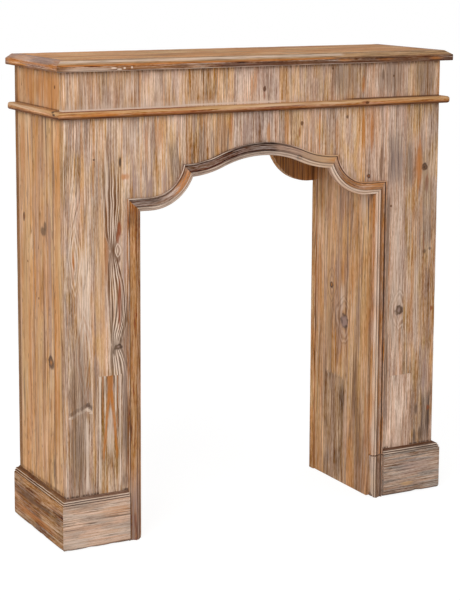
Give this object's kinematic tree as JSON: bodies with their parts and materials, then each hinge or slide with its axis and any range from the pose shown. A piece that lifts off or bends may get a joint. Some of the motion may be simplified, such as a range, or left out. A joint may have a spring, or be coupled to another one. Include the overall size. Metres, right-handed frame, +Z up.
{
  "type": "fireplace surround",
  "caption": "Free-standing fireplace surround in brushed, lime-washed fir: hollow stave-built legs and frieze, cusped arch opening with moulding, astragal, plinths and chamfered mantel shelf.",
  "frame": {"origin": "on the floor, under the middle of the mantel's plan", "axes": "+Z up, -Y to the front, +Y to the wall, +X to the right seen from the front"},
  "size_m": [0.94, 0.28, 1],
  "materials": {
    "front_panel_wood": "brushed fir, lime washed",
    "rear_panel_wood": "fir, waxed",
    "side_panel_wood": "brushed fir, waxed, little lime wash",
    "jamb_wood": "brushed fir, waxed",
    "mantel_wood": "brushed fir, waxed",
    "mantel_edge_wood": "brushed fir, lime washed",
    "astragal_wood": "fir, waxed",
    "moulding_wood": "fir, stained, lime in the hollows",
    "plinth_wood": "brushed fir, lime washed",
    "batten_wood": "planed fir",
    "screw_steel": "zinc plated"
  },
  "bodies": {
    "root": {"astragal_front": "astragal_wood", "astragal_left": "astragal_wood", "astragal_right": "astragal_wood", "front_stave_1": "front_panel_wood", "front_stave_2": "front_panel_wood", "front_stave_3": "front_panel_wood", "front_stave_4": "front_panel_wood", "front_stave_5": "front_panel_wood", "front_stave_6": "front_panel_wood", "front_stave_7": "front_panel_wood", "front_stave_8": "front_panel_wood", "front_stave_9": "front_panel_wood", "header_batten_front": "batten_wood", "header_batten_rear": "batten_wood", "left_jamb_stave_1": "jamb_wood", "left_jamb_stave_2": "jamb_wood", "left_jamb_stave_3": "jamb_wood", "left_leg_batten_inner": "batten_wood", "left_leg_batten_outer": "batten_wood", "left_leg_cleat": "batten_wood", "left_side_stave_1": "side_panel_wood", "left_side_stave_2": "side_panel_wood", "left_side_stave_3": "side_panel_wood", "mantel_board_back": "mantel_wood", "mantel_board_front": "mantel_wood", "mantel_board_middle": "mantel_wood", "mantel_edge_front": "mantel_edge_wood", "mantel_edge_left": "mantel_edge_wood", "mantel_edge_right": "mantel_edge_wood", "mantel_screws": "screw_steel", "moulding_left_arch": "moulding_wood", "moulding_left_jamb": "moulding_wood", "moulding_left_lobe": "moulding_wood", "moulding_right_arch": "moulding_wood", "moulding_right_foot": "moulding_wood", "moulding_right_jamb": "moulding_wood", "moulding_right_lobe": "moulding_wood", "plinth_left_front": "plinth_wood", "plinth_left_side": "plinth_wood", "plinth_right_front": "plinth_wood", "plinth_right_side": "plinth_wood", "rear_stave_1": "rear_panel_wood", "rear_stave_2": "rear_panel_wood", "rear_stave_3": "rear_panel_wood", "rear_stave_4": "rear_panel_wood", "rear_stave_5": "rear_panel_wood", "rear_stave_6": "rear_panel_wood", "rear_stave_7": "rear_panel_wood", "rear_stave_8": "rear_panel_wood", "rear_stave_9": "rear_panel_wood", "right_jamb_stave_1": "jamb_wood", "right_jamb_stave_2": "jamb_wood", "right_jamb_stave_3": "jamb_wood", "right_leg_batten_inner": "batten_wood", "right_leg_batten_outer": "batten_wood", "right_leg_cleat": "batten_wood", "right_side_stave_1": "side_panel_wood", "right_side_stave_2": "side_panel_wood", "right_side_stave_3": "side_panel_wood"}
  },
  "joints": []
}
